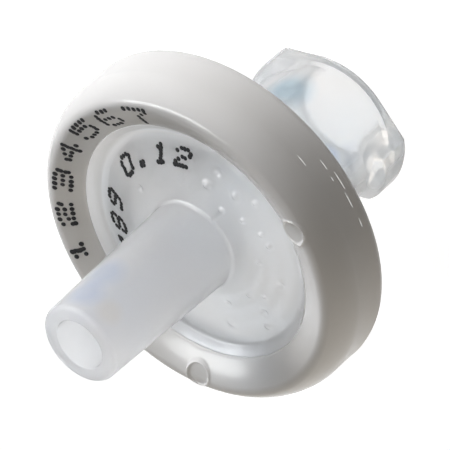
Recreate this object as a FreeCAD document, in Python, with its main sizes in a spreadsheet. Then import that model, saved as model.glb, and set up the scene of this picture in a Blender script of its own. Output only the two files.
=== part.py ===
"""Small disc-type syringe filter: two polypropylene shells clamp a round membrane, and a moulded ring locks their flanges together.

The filter stands upright on the rim of its inlet socket.
Z runs along the flow axis, from the inlet rim at zero up to the tip of the outlet nozzle.
All sizes are millimetres and all angles are degrees.
"""
import FreeCAD, Part
import math
import os

import Sketcher

# ------------------------------------------------------------------ sizes
# A number is a driving size. A text that starts with "=" is worked out from other sizes.
SIZES = [
    ("luer_taper", 0.03, "radius lost per millimetre on a 6 percent luer cone"),
    ("cut_margin", 0.3, "how far a cutting outline reaches past what it cuts"),
    # inlet shell, from the rim upwards
    ("socket_mouth_radius", 2.15, "luer socket at the rim"),
    ("socket_depth", 7.6, "depth of the luer socket"),
    ("socket_end_radius", "=socket_mouth_radius - luer_taper * socket_depth", "luer socket at its bottom"),
    ("socket_lead_in", 0.2, "chamfer round the socket mouth"),
    ("inlet_port_radius", 0.75, "hole from the socket into the inlet chamber"),
    ("hub_radius", 3.35, "outside of the luer hub"),
    ("rim_chamfer", 0.15, "chamfer of the outer rim edge"),
    ("hub_neck_height", 5.6, "where the hub starts to flare"),
    ("hub_root_radius", 4.3, "hub at the inlet face"),
    ("inlet_face_height", 8.35, "outer face of the inlet shell"),
    ("inlet_face_radius", 5.6, "outer edge of that face"),
    ("inlet_lip_radius", 5.95, "inside of the inlet lip"),
    ("inlet_lip_height", 8.12, "lowest level of the inlet lip"),
    ("inlet_flange_height", 8.55, "underside of the inlet flange"),
    ("inlet_chamber_height", 9.0, "floor of the inlet chamber"),
    ("spreader_rib_start", 1.5, "inner end of a radial rib in the inlet chamber"),
    ("spreader_rib_length", 3.8, "length of that rib"),
    ("spreader_rib_width", 0.3, "width of that rib"),
    ("spreader_rib_rise", 0.25, "height of that rib"),
    ("spreader_rib_count", 12, "number of those ribs"),
    # luer lugs
    ("lug_radius", 3.95, "outside of the luer lugs"),
    ("lug_root_radius", 2.9, "how far in the lug is sunk in the hub wall"),
    ("lug_land_height", 0.5, "full-radius part of the thread section at its thin end"),
    ("lug_flank_height", 1.25, "where the thread flank meets the hub at its thin end"),
    ("lug_centre", 16, "degrees from X to the middle of the first lug"),
    ("lug_sweep", 120, "degrees of arc of one lug"),
    ("lug_ramp", "=acos(hub_radius / lug_radius) / 1deg", "degrees of arc of the ramp at either end"),
    ("lug_crest", "=lug_sweep - 2 * lug_ramp", "degrees of arc at full radius"),
    ("lug_run_out", 1, "degrees that the thread runs on past either end of its lug"),
    ("lug_lead", 5.0, "axial advance of the luer thread in one turn"),
    ("lug_climb", "=lug_lead * (lug_sweep + 2 * lug_run_out) / 360", "rise of the flank over one lug"),
    ("lug_count", 2, "number of lugs"),
    # parting, membrane, flanges
    ("parting_height", 9.35, "where the two shells meet"),
    ("membrane_radius", 6.5, "outside of the membrane disc"),
    ("membrane_thickness", 0.2, "thickness of the membrane disc"),
    ("seat_height", "=parting_height + membrane_thickness", "underside of the outlet shell on the membrane"),
    ("chamber_radius", 5.7, "wetted radius of both chambers"),
    ("flange_radius", 7.35, "outside of both flanges"),
    ("flange_top_height", 10.2, "top of the outlet flange"),
    # outlet shell
    ("groove_height", 9.9, "roof of the collecting grooves"),
    ("rib_count", 5, "number of round support ribs"),
    ("rib_first_radius", 2.0, "middle of the innermost support rib"),
    ("rib_width", 0.3, "width of a support rib"),
    ("rib_pitch", "=(chamber_radius + rib_width / 2 - rib_first_radius) / rib_count", "spacing of the support ribs"),
    ("channel_width", 0.45, "radial channel through the support ribs"),
    ("channel_count", 6, "number of radial channels"),
    ("dish_edge_radius", 5.6, "outer edge of the outlet face"),
    ("dish_edge_height", 10.35, "outlet face at its outer edge"),
    ("dish_hub_height", 10.95, "outlet face at the nozzle"),
    ("lip_radius", 6.05, "inner edge of the outlet lip"),
    ("lip_height", 10.78, "top of the outlet lip"),
    ("mouth_radius", 6.12, "mouth of the moulded ring on either shell"),
    ("tip_height", 19.1, "end of the nozzle"),
    ("nozzle_tip_radius", 1.975, "outside of the luer nozzle at its end"),
    ("nozzle_root_radius", "=nozzle_tip_radius + luer_taper * (tip_height - dish_hub_height)", "outside of the nozzle at the outlet face"),
    ("nozzle_bore_radius", 1.25, "outlet passage"),
    ("nozzle_root_fillet", 0.5, "rounding between nozzle and outlet face"),
    ("nozzle_edge_chamfer", 0.1, "chamfer of the nozzle end"),
    # moulded ring
    ("ring_radius", 8.45, "outside of the moulded ring"),
    ("ring_back_height", 8.08, "back face of the ring"),
    ("ring_back_chamfer", 0.25, "chamfer of the back edge"),
    ("ring_shoulder_height", 9.97, "where the side wall turns into the shoulder"),
    ("ring_shoulder_round", 1.94, "rounding of the shoulder"),
    ("ring_crest_round", 0.5, "rounding of the crest"),
    ("ring_mouth_height", 10.82, "inner edge of the front slope"),
    ("ring_slope_angle", 30, "degrees that the front slope rises outwards"),
    ("mark_radius", 0.54, "support pin mark on the front slope"),
    ("mark_ring_radius", 7.12, "distance of the marks from the axis"),
    ("mark_depth", 0.1, "depth of the marks"),
    ("mark_angle", 130.5, "degrees from X to the first mark"),
    ("mark_count", 3, "number of marks"),
]

doc = FreeCAD.newDocument("SyringeFilter")
sheet = doc.addObject("Spreadsheet::Sheet", "Sizes")
for row, (name, value, note) in enumerate(SIZES, start=1):
    sheet.set("A%d" % row, note)
    sheet.set("B%d" % row, value if isinstance(value, str) else repr(value))
    sheet.setAlias("B%d" % row, name)
doc.recompute()


class Size:
    """A number together with the sheet expression that gives it, so whatever is worked out from it stays bound."""

    def __init__(self, value, text):
        self.value, self.text = value, text

    def joined(self, sign, other, value):
        return Size(value, "(%s %s %s)" % (self.text, sign, other.text))

    def __add__(self, other):
        other = as_size(other)
        return self.joined("+", other, self.value + other.value)

    def __sub__(self, other):
        other = as_size(other)
        return self.joined("-", other, self.value - other.value)

    def __mul__(self, other):
        other = as_size(other)
        return self.joined("*", other, self.value * other.value)

    def __truediv__(self, other):
        other = as_size(other)
        return self.joined("/", other, self.value / other.value)

    def __neg__(self):
        return Size(-self.value, "-" + self.text)


def as_size(number):
    return number if isinstance(number, Size) else Size(number, repr(number))


def of_angle(function, angle):
    """The sine, cosine or tangent of an angle in degrees."""
    return Size(getattr(math, function)(math.radians(angle.value)), "%s(%s * 1deg)" % (function, angle.text))


ZERO = Size(0.0, "0")
s = {name: Size(float(sheet.get(name)), "Sizes." + name) for name, _, _ in SIZES}


# ------------------------------------------------------------------ helpers
def bind(thing, name, size):
    """Set a property and bind it to the sheet."""
    setattr(thing, name, size.value)
    thing.setExpression(name, size.text)


def origin_plane(body, role):
    return next(plane for plane in body.Origin.OriginFeatures if plane.Role == role + "_Plane")


def new_body(label):
    body = doc.addObject("PartDesign::Body", label)
    body.Label = label
    body.Placement = FreeCAD.Placement()
    return body


def new_sketch(body, name, plane, offset=None, turn=None):
    """A sketch on an origin plane of the body, moved along that plane's normal or turned about Z."""
    sketch = body.newObject("Sketcher::SketchObject", name)
    sketch.AttachmentSupport = (origin_plane(body, plane), [""])
    sketch.MapMode = "FlatFace"
    sketch.Visibility = False
    if offset:
        sketch.setExpression("AttachmentOffset.Base.z", offset.text)
    if turn:
        upright = FreeCAD.Rotation(FreeCAD.Vector(0, 1, 0), turn.value)
        sketch.AttachmentOffset = FreeCAD.Placement(FreeCAD.Vector(), upright)
        sketch.setExpression("AttachmentOffset.Rotation.Angle", turn.text)
    return sketch


def point(place):
    return FreeCAD.Vector(place[0].value, place[1].value, 0)


def line(start, end):
    return Part.LineSegment(point(start), point(end))


def arc(centre, radius, start, end):
    """An arc that turns anticlockwise between two angles."""
    circle = Part.Circle(point(centre), FreeCAD.Vector(0, 0, 1), radius.value)
    return Part.ArcOfCircle(circle, math.radians(start), math.radians(end))


def hold(sketch, kind, *rest):
    """A sketch constraint whose last argument is a size."""
    *where, size = rest
    value = math.radians(size.value) if kind == "Angle" else size.value
    made = sketch.addConstraint(Sketcher.Constraint(kind, *where, value))
    sketch.setExpression("Constraints[%d]" % made, size.text)


def pin(sketch, geo, end, x, y):
    """Tie one point of a line or arc to its two sizes, or to one of them where the other is None."""
    for kind, axis, size in (("DistanceX", -2, x), ("DistanceY", -1, y)):
        if size is None:
            continue
        if size.value == 0:
            sketch.addConstraint(Sketcher.Constraint("PointOnObject", geo, end, axis))
        elif size.value > 0:
            hold(sketch, kind, -1, 1, geo, end, size)
        else:
            hold(sketch, kind, geo, end, -1, 1, -size)


def joined(sketch, *pairs):
    """The end of one line or arc meets the start of the next."""
    for here, there in pairs:
        sketch.addConstraint(Sketcher.Constraint("Coincident", here, 2, there, 1))


def outline(sketch, corners):
    """A closed outline of straight lines, each corner tied to its own two sizes."""
    first, count = sketch.GeometryCount, len(corners)
    for here, there in zip(corners, corners[1:] + corners[:1]):
        sketch.addGeometry(line(here, there))
    joined(sketch, *((first + i, first + (i + 1) % count) for i in range(count)))
    for i, corner in enumerate(corners):
        pin(sketch, first + i, 1, *corner)


def disc(sketch, radius):
    """A full circle about the axis."""
    made = sketch.addGeometry(Part.Circle(FreeCAD.Vector(), FreeCAD.Vector(0, 0, 1), radius.value))
    sketch.addConstraint(Sketcher.Constraint("Coincident", made, 3, -1, 1))
    hold(sketch, "Radius", made, radius)


def turned(body, kind, name, sketch, axis="V_Axis"):
    """A full turn of the sketch about its own vertical axis, or about one of its lines."""
    feature = body.newObject("PartDesign::" + kind, name)
    feature.Profile = sketch
    feature.ReferenceAxis = (sketch, [axis])
    feature.Angle = 360
    doc.recompute()
    return feature


def raised(body, kind, name, sketch, length, **options):
    """A pad or a pocket of the sketch."""
    feature = body.newObject("PartDesign::" + kind, name)
    feature.Profile = sketch
    bind(feature, "Length", length)
    for option, value in options.items():
        setattr(feature, option, value)
    doc.recompute()
    return feature


def patterned(body, name, original, count, axis_sketch):
    """The feature repeated evenly round the Z axis."""
    pattern = body.newObject("PartDesign::PolarPattern", name)
    pattern.Originals = [original]
    pattern.Axis = (axis_sketch, ["N_Axis"])
    pattern.Angle = 360
    pattern.Occurrences = int(count.value)
    pattern.setExpression("Occurrences", count.text)
    body.Tip = pattern
    doc.recompute()
    return pattern


def edges_where(shape, test):
    """Names of the edges whose points all pass a test of their distance from the axis and their level."""
    return [
        "Edge%d" % i
        for i, edge in enumerate(shape.Edges, start=1)
        if all(test(math.hypot(p.x, p.y), p.z) for p in edge.discretize(5))
    ]


def circle_edges(shape, radius, height):
    """Names of the edges that lie on one circle about the axis."""
    return edges_where(shape, lambda out, up: abs(out - radius.value) < 1e-3 and abs(up - height.value) < 1e-3)


def eased(body, kind, name, base, edges, size):
    """A fillet or a chamfer along some edges."""
    feature = body.newObject("PartDesign::" + kind, name)
    feature.Base = (base, edges)
    bind(feature, "Radius" if kind == "Fillet" else "Size", size)
    body.Tip = feature
    doc.recompute()
    return feature


# ------------------------------------------------------------------ inlet shell
inlet = new_body("inlet_housing")
section = new_sketch(inlet, "InletSection", "XZ")
outline(
    section,
    [
        (s["socket_mouth_radius"] + s["socket_lead_in"], ZERO),
        (s["hub_radius"], ZERO),
        (s["hub_radius"], s["hub_neck_height"]),
        (s["hub_root_radius"], s["inlet_face_height"]),
        (s["inlet_face_radius"], s["inlet_face_height"]),
        (s["inlet_lip_radius"], s["inlet_lip_height"]),
        (s["mouth_radius"], s["inlet_lip_height"]),
        (s["mouth_radius"], s["inlet_flange_height"]),
        (s["flange_radius"], s["inlet_flange_height"]),
        (s["flange_radius"], s["parting_height"]),
        (s["chamber_radius"], s["parting_height"]),
        (s["chamber_radius"], s["inlet_chamber_height"]),
        (s["inlet_port_radius"], s["inlet_chamber_height"]),
        (s["inlet_port_radius"], s["socket_depth"]),
        (s["socket_end_radius"], s["socket_depth"]),
        (s["socket_mouth_radius"], s["socket_lead_in"]),
    ],
)
turned(inlet, "Revolution", "InletShell", section)

# Radial ribs spread the flow over the inlet chamber and stop just short of the membrane.
spreader = new_sketch(inlet, "SpreaderRibOutline", "XY", offset=s["inlet_chamber_height"])
half_rib = s["spreader_rib_width"] / 2
rib_end = s["spreader_rib_start"] + s["spreader_rib_length"]
outline(
    spreader,
    [
        (s["spreader_rib_start"], -half_rib),
        (rib_end, -half_rib),
        (rib_end, half_rib),
        (s["spreader_rib_start"], half_rib),
    ],
)
rib = raised(inlet, "Pad", "SpreaderRib", spreader, s["spreader_rib_rise"])
patterned(inlet, "SpreaderRibs", rib, s["spreader_rib_count"], spreader)

# The luer lugs are a thread section swept along the luer thread.
# It reaches below the rim, so that a trim at the rim leaves flush end faces.
thread_start = s["lug_centre"] - s["lug_sweep"] / 2 - s["lug_run_out"]
thread = new_sketch(inlet, "ThreadSection", "XZ", turn=thread_start)
stock_radius = s["lug_radius"] + s["cut_margin"]
stock_foot = -(s["lug_climb"] + s["cut_margin"])
outline(
    thread,
    [
        (s["lug_root_radius"], stock_foot),
        (stock_radius, stock_foot),
        (stock_radius, s["lug_land_height"]),
        (s["lug_radius"], s["lug_land_height"]),
        (s["hub_radius"], s["lug_flank_height"]),
        (s["lug_root_radius"], s["lug_flank_height"]),
    ],
)
lug = inlet.newObject("PartDesign::AdditiveHelix", "Lug")
lug.Profile = thread
lug.ReferenceAxis = (thread, ["V_Axis"])
lug.Mode = 0
bind(lug, "Pitch", s["lug_lead"])
bind(lug, "Height", s["lug_climb"])
lug.LeftHanded = False
lug.Reversed = False
doc.recompute()
patterned(inlet, "Lugs", lug, s["lug_count"], spreader)

# Seen along the axis, each lug has a round crest and two straight ramps that run tangent into the round hub.
# All that stands outside this plan is cut back.
plan = new_sketch(inlet, "RimPlan", "XY")
disc(plan, stock_radius + s["cut_margin"])
centre = (ZERO, ZERO)
lugs = []
for turn in (0, 180):
    crest, foot = (
        [s["lug_centre"] + turn - half, s["lug_centre"] + turn + half]
        for half in (s["lug_crest"] / 2, s["lug_sweep"] / 2)
    )
    tops = [(s["lug_radius"] * of_angle("cos", a), s["lug_radius"] * of_angle("sin", a)) for a in crest]
    feet = [(s["hub_radius"] * of_angle("cos", a), s["hub_radius"] * of_angle("sin", a)) for a in foot]
    rise = plan.addGeometry(line(feet[0], tops[0]))
    top = plan.addGeometry(arc(centre, s["lug_radius"], crest[0].value, crest[1].value))
    fall = plan.addGeometry(line(tops[1], feet[1]))
    rest = plan.addGeometry(arc(centre, s["hub_radius"], foot[1].value, foot[0].value + 180))
    for middle in (top, rest):
        plan.addConstraint(Sketcher.Constraint("Coincident", middle, 3, -1, 1))
    joined(plan, (rise, top), (top, fall))
    pin(plan, top, 1, *tops[0])
    across = abs(tops[1][0].value) < abs(tops[1][1].value)
    pin(plan, top, 2, tops[1][0] if across else None, None if across else tops[1][1])
    lugs.append((rise, fall, rest))
for (_, fall, rest), (next_rise, _, _) in zip(lugs, reversed(lugs)):
    plan.addConstraint(Sketcher.Constraint("Tangent", fall, 2, rest, 1))
    plan.addConstraint(Sketcher.Constraint("Tangent", rest, 2, next_rise, 1))
    hold(plan, "Radius", rest, s["hub_radius"])
lug_top = s["lug_flank_height"] + s["lug_climb"] + s["cut_margin"]
raised(inlet, "Pocket", "LugRamps", plan, lug_top * 2, Midplane=True)

trim_outline = new_sketch(inlet, "RimTrimOutline", "XY")
disc(trim_outline, stock_radius + s["cut_margin"])
trim = raised(inlet, "Pocket", "RimTrim", trim_outline, s["lug_climb"] + s["cut_margin"] * 2)
rim_edges = edges_where(trim.Shape, lambda out, up: abs(up) < 1e-4 and out > s["hub_radius"].value - 1e-3)
eased(inlet, "Chamfer", "RimEdge", trim, rim_edges, s["rim_chamfer"])

# ------------------------------------------------------------------ outlet shell
outlet = new_body("outlet_housing")
section = new_sketch(outlet, "OutletSection", "XZ")
outline(
    section,
    [
        (s["nozzle_bore_radius"], s["seat_height"]),
        (s["nozzle_bore_radius"], s["tip_height"]),
        (s["nozzle_tip_radius"], s["tip_height"]),
        (s["nozzle_root_radius"], s["dish_hub_height"]),
        (s["dish_edge_radius"], s["dish_edge_height"]),
        (s["lip_radius"], s["lip_height"]),
        (s["mouth_radius"], s["lip_height"]),
        (s["mouth_radius"], s["flange_top_height"]),
        (s["flange_radius"], s["flange_top_height"]),
        (s["flange_radius"], s["parting_height"]),
        (s["membrane_radius"], s["parting_height"]),
        (s["membrane_radius"], s["seat_height"]),
    ],
)
turned(outlet, "Revolution", "OutletShell", section)

# Collecting grooves: the lands left between them are the round ribs that hold the membrane up.
grooves = new_sketch(outlet, "GrooveSection", "XZ")
below_seat = s["seat_height"] - s["cut_margin"]
half_rib = s["rib_width"] / 2
walls = [s["nozzle_bore_radius"] - s["cut_margin"]]
for i in range(int(s["rib_count"].value)):
    middle = s["rib_first_radius"] + s["rib_pitch"] * i
    walls += [middle - half_rib, middle + half_rib]
walls.append(s["chamber_radius"])
for inner, outer in zip(walls[0::2], walls[1::2]):
    outline(
        grooves,
        [(inner, below_seat), (outer, below_seat), (outer, s["groove_height"]), (inner, s["groove_height"])],
    )
turned(outlet, "Groove", "CollectingGrooves", grooves)

# Radial channels lead from every groove to the outlet passage.
channel_outline = new_sketch(outlet, "ChannelOutline", "XY", offset=below_seat)
half_channel = s["channel_width"] / 2
channel_end = s["chamber_radius"] - (s["rib_pitch"] - s["rib_width"]) / 2
outline(
    channel_outline,
    [
        (walls[0], -half_channel),
        (channel_end, -half_channel),
        (channel_end, half_channel),
        (walls[0], half_channel),
    ],
)
channel = raised(outlet, "Pocket", "Channel", channel_outline, s["groove_height"] - below_seat, Reversed=True)
channels = patterned(outlet, "Channels", channel, s["channel_count"], channel_outline)

root_edges = circle_edges(channels.Shape, s["nozzle_root_radius"], s["dish_hub_height"])
root = eased(outlet, "Fillet", "NozzleRoot", channels, root_edges, s["nozzle_root_fillet"])
tip_edges = circle_edges(root.Shape, s["nozzle_tip_radius"], s["tip_height"])
eased(outlet, "Chamfer", "NozzleEdge", root, tip_edges, s["nozzle_edge_chamfer"])

# ------------------------------------------------------------------ membrane
membrane = new_body("membrane")
membrane_outline = new_sketch(membrane, "MembraneOutline", "XY", offset=s["parting_height"])
disc(membrane_outline, s["membrane_radius"])
raised(membrane, "Pad", "MembraneDisc", membrane_outline, s["membrane_thickness"])

# ------------------------------------------------------------------ moulded ring
ring = new_body("overmold_ring")
section = new_sketch(ring, "RingSection", "XZ")
corners = [
    (s["mouth_radius"], s["ring_mouth_height"]),
    (s["mouth_radius"], s["flange_top_height"]),
    (s["flange_radius"], s["flange_top_height"]),
    (s["flange_radius"], s["inlet_flange_height"]),
    (s["mouth_radius"], s["inlet_flange_height"]),
    (s["mouth_radius"], s["ring_back_height"]),
    (s["ring_radius"] - s["ring_back_chamfer"], s["ring_back_height"]),
    (s["ring_radius"], s["ring_back_height"] + s["ring_back_chamfer"]),
    (s["ring_radius"], s["ring_shoulder_height"]),
]

# The crest arc touches the shoulder arc from inside and the front slope from below.
slope = s["ring_slope_angle"]
sine, cosine = of_angle("sin", slope), of_angle("cos", slope)
shoulder, crest = s["ring_shoulder_round"], s["ring_crest_round"]
shoulder_centre = (s["ring_radius"] - shoulder, s["ring_shoulder_height"])
foot_out = (s["mouth_radius"] + crest * sine - shoulder_centre[0]).value
foot_up = (s["ring_mouth_height"] - crest * cosine - shoulder_centre[1]).value
along = foot_out * cosine.value + foot_up * sine.value
reach = (shoulder - crest).value
travel = math.sqrt(along**2 - foot_out**2 - foot_up**2 + reach**2) - along
shoulder_end = math.degrees(math.atan2(foot_up + travel * sine.value, foot_out + travel * cosine.value))
crest_centre = (
    Size(shoulder_centre[0].value + foot_out + travel * cosine.value, ""),
    Size(shoulder_centre[1].value + foot_up + travel * sine.value, ""),
)
slope_end = (crest_centre[0] - crest * sine, crest_centre[1] + crest * cosine)

straight = [section.addGeometry(line(a, b)) for a, b in zip(corners, corners[1:])]
shoulder_arc = section.addGeometry(arc(shoulder_centre, shoulder, 0, shoulder_end))
crest_arc = section.addGeometry(arc(crest_centre, crest, shoulder_end, slope.value + 90))
slope_line = section.addGeometry(line(corners[0], slope_end))
joined(section, *zip(straight, straight[1:] + [shoulder_arc]))
section.addConstraint(Sketcher.Constraint("Coincident", slope_line, 1, straight[0], 1))
for made, corner in zip(straight, corners):
    pin(section, made, 1, *corner)
pin(section, straight[-1], 2, *corners[-1])
pin(section, shoulder_arc, 3, *shoulder_centre)
section.addConstraint(Sketcher.Constraint("Tangent", shoulder_arc, 2, crest_arc, 1))
section.addConstraint(Sketcher.Constraint("Tangent", crest_arc, 2, slope_line, 2))
hold(section, "Radius", crest_arc, crest)
hold(section, "Angle", slope_line, slope)
turned(ring, "Revolution", "RingBand", section)

# A support pin leaves a shallow round mark square to the front slope: a small section turned about its own tilted axis.
mark_section = new_sketch(ring, "MarkSection", "XZ", turn=s["mark_angle"])
mark_level = s["ring_mouth_height"] + (s["mark_ring_radius"] - s["mouth_radius"]) * of_angle("tan", slope)


def on_slope(out, up):
    """A place beside the middle of the mark: out along the slope and up square to it."""
    return (s["mark_ring_radius"] + out * cosine - up * sine, mark_level + out * sine + up * cosine)


floor, above = -s["mark_depth"], s["cut_margin"]
outline(
    mark_section,
    [
        on_slope(ZERO, floor),
        on_slope(s["mark_radius"], floor),
        on_slope(s["mark_radius"], above),
        on_slope(ZERO, above),
    ],
)
mark_plane = new_sketch(ring, "MarkPlane", "XY")
mark = turned(ring, "Groove", "Mark", mark_section, axis="Edge4")
patterned(ring, "Marks", mark, s["mark_count"], mark_plane)

# ------------------------------------------------------------------ checks and files
doc.recompute()
bodies = (inlet, outlet, membrane, ring)
for thing in doc.Objects:
    if "Invalid" in thing.State or "Error" in thing.State:
        raise RuntimeError("%s did not build: %s" % (thing.Label, thing.State))
for body in bodies:
    if body.Shape.isNull() or not body.Shape.isValid() or len(body.Shape.Solids) != 1:
        raise RuntimeError("%s is not one valid solid" % body.Label)
    for feature in body.Group:
        before = getattr(feature, "BaseFeature", None)
        if before is None:
            continue
        gained = feature.Shape.Volume - before.Shape.Volume
        cuts = feature.TypeId in ("PartDesign::Pocket", "PartDesign::Groove")
        adds = feature.TypeId in ("PartDesign::Pad", "PartDesign::AdditiveHelix")
        if abs(gained) < 1e-4 or (cuts and gained > 0) or (adds and gained < 0):
            raise RuntimeError("%s changes the volume by %.4f" % (feature.Label, gained))
    print("%s: volume %.1f mm3, %d faces" % (body.Label, body.Shape.Volume, len(body.Shape.Faces)))

os.makedirs("parts", exist_ok=True)
for body in bodies:
    body.Shape.exportStep("parts/%s.step" % body.Label)
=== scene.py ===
"""The looks of a small disc syringe filter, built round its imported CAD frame.

A white moulded ring clamps two translucent shells over a membrane. The outlet shell with its luer nozzle
is above, the inlet shell with its luer lock socket below. Shapes are modelled in millimetres.
"""

import math
import random
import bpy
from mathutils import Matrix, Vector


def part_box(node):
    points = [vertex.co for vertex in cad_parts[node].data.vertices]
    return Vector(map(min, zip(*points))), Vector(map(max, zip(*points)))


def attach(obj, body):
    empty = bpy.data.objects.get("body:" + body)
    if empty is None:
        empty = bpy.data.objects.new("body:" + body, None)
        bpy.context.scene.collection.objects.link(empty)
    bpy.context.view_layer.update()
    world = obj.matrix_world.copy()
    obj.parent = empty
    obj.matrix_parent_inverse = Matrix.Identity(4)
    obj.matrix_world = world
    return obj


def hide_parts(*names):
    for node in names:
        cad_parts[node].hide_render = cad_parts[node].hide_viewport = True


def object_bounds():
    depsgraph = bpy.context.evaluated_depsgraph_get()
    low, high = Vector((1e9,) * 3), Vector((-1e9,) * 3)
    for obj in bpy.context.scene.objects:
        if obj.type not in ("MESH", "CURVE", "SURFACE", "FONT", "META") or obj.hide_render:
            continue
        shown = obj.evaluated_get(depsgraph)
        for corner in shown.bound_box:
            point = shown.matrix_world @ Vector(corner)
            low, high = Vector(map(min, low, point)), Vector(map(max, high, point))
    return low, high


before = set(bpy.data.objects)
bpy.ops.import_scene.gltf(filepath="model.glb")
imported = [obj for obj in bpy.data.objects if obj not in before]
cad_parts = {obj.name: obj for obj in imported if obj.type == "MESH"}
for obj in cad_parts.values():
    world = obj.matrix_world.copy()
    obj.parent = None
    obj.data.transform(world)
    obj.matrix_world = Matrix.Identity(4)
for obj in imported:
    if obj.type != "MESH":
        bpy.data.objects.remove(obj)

from types import SimpleNamespace

import bmesh
import bpy
from mathutils import Matrix, Quaternion, Vector

bl_info = {
    "name": "Disc Syringe Filter",
    "version": (1, 0, 0),
    "blender": (4, 5, 0),
    "location": "View3D > Sidebar > Filter",
    "description": "Models the shells, ring, membrane, print and studio of a small syringe filter",
    "category": "Object",
}

CAD_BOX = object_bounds()
MM = 0.001
FULL_TURN = 2 * math.pi
ROUND_STEPS = 240
SHARP_ANGLE = math.radians(40)
PLASTIC_IOR = 1.49
# Corners nearer than this are one corner, in millimetres.
SAME = 1e-4

RING_LOW, RING_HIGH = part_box("overmold_ring")
MEMBRANE_LOW, MEMBRANE_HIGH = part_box("membrane")
OUTLET_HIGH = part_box("outlet_housing")[1]
INLET_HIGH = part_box("inlet_housing")[1]
MEMBRANE_TOP = MEMBRANE_HIGH.z / MM


# ---- settings
def length(name, description, millimetres):
    """A length that a user may change, given here in millimetres and kept in metres."""
    return bpy.props.FloatProperty(
        name=name, description=description, default=millimetres * MM,
        min=0, unit="LENGTH", subtype="DISTANCE", precision=5,
    )


def angle(name, description, degrees):
    """An angle that a user may change, given here in degrees and kept in radians."""
    return bpy.props.FloatProperty(
        name=name, description=description, default=math.radians(degrees), unit="ROTATION", subtype="ANGLE"
    )


def colour(name, description, default):
    """A linear colour that a user may change."""
    return bpy.props.FloatVectorProperty(
        name=name, description=description, default=default, size=3, min=0, max=1, subtype="COLOR"
    )


def factor(name, description, default, highest=1):
    """A plain number that a user may change."""
    return bpy.props.FloatProperty(name=name, description=description, default=default, min=0, max=highest)


def count(name, description, default):
    """A whole number that a user may change."""
    return bpy.props.IntProperty(name=name, description=description, default=default, min=1)


def digits(name, description, default):
    """A line of numbers that a user may change."""
    return bpy.props.StringProperty(name=name, description=description, default=default)


class RingSettings(bpy.types.PropertyGroup):
    """Sizes and finish of the white moulded ring."""

    radius: length("Radius", "Outside of the side wall", RING_HIGH.x / MM - 0.02)
    ridge: length("Ridge", "How far the parting line stands out", 0.018)
    mouth_radius: length("Mouth radius", "Round opening on both faces", 6.12)
    back_height: length("Back height", "Level of the ring's back face", RING_LOW.z / MM)
    mouth_height: length("Mouth height", "Level of the front opening's edge", 10.82)
    shoulder_height: length("Shoulder height", "Where the side wall ends", 9.97)
    shoulder_round: length("Shoulder round", "The large outer rounding", 1.94)
    crest_round: length("Crest round", "Rounding at the very top", 0.5)
    back_round: length("Back round", "Rounding at the back edge", 0.28)
    mouth_round: length("Mouth round", "Rounding of the opening's edge", 0.09)
    slope: angle("Slope", "Rise of the front face from the opening", 30)
    slope_end: angle("Slope end", "Rise left where the front meets the crest", 19)
    seat_radius: length("Seat radius", "Groove inside that holds both flanges", 7.35)
    seat_low: length("Seat low", "Underside of the inlet flange", 8.55)
    seat_high: length("Seat high", "Top of the outlet flange", 10.2)
    mark_place: length("Mark place", "Support marks' distance from the axis", 7.18)
    mark_height: length("Mark height", "Level of the support marks", 11.39)
    mark_radius: length("Mark radius", "Radius of a support mark", 0.6)
    mark_levelling: factor("Mark levelling", "How far a mark is levelled out of the slope", 0.55)
    mark_bead: length("Mark bead", "Height of the bead round a support mark", 0.08)
    mark_angle: angle("Mark angle", "Direction of the first support mark", 129.4)
    mark_count: count("Marks", "Support marks, a third of a turn apart", 2)
    colour: colour("Colour", "White of the ring", (0.83, 0.825, 0.81))
    roughness: factor("Roughness", "Roughness of the surface", 0.2)
    depth: length("Depth", "How far light spreads under the surface", 0.2)


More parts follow.
